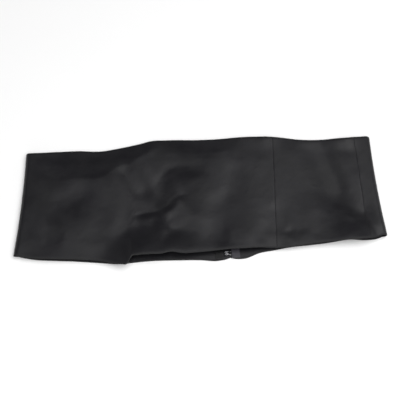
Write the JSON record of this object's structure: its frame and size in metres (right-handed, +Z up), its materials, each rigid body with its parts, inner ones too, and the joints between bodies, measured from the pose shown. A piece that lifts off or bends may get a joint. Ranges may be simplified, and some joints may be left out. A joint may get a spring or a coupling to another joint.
{
  "type": "cummerbund",
  "caption": "Smooth satin waist band, a closed shaped tube laid flat with soft creases, its near edge lifted to show the hook-and-eye back closure.",
  "frame": {"origin": "middle of the flat underside, at the bottom centre of the bounding box", "axes": "+X along the band, towards the fold beside the side seam; +Y from the near edge to the far edge; +Z up, out of the front layer"},
  "size_m": [0.3673, 0.139, 0.0131],
  "materials": {
    "satin": "black satin over a fused stiffening, soft sheen",
    "tape": "grey satin tape, under the hooks",
    "eye_tape": "black satin tape, under the eyes",
    "wire": "nickel-plated wire of the hooks, bright",
    "eye_wire": "black enamelled wire of the eyes"
  },
  "bodies": {
    "root": {"front_panel": "satin", "side_front_panel": "satin", "back_right_panel": "satin", "back_left_panel": "satin", "hook_tape": "tape", "eye_tape": "eye_tape", "hook_1": "wire", "hook_2": "wire", "hook_3": "wire", "hook_4": "wire", "hook_5": "wire", "hook_6": "wire", "hook_7": "wire", "eye_1": "eye_wire", "eye_2": "eye_wire", "eye_3": "eye_wire", "eye_4": "eye_wire", "eye_5": "eye_wire", "eye_6": "eye_wire", "eye_7": "eye_wire"}
  },
  "joints": []
}
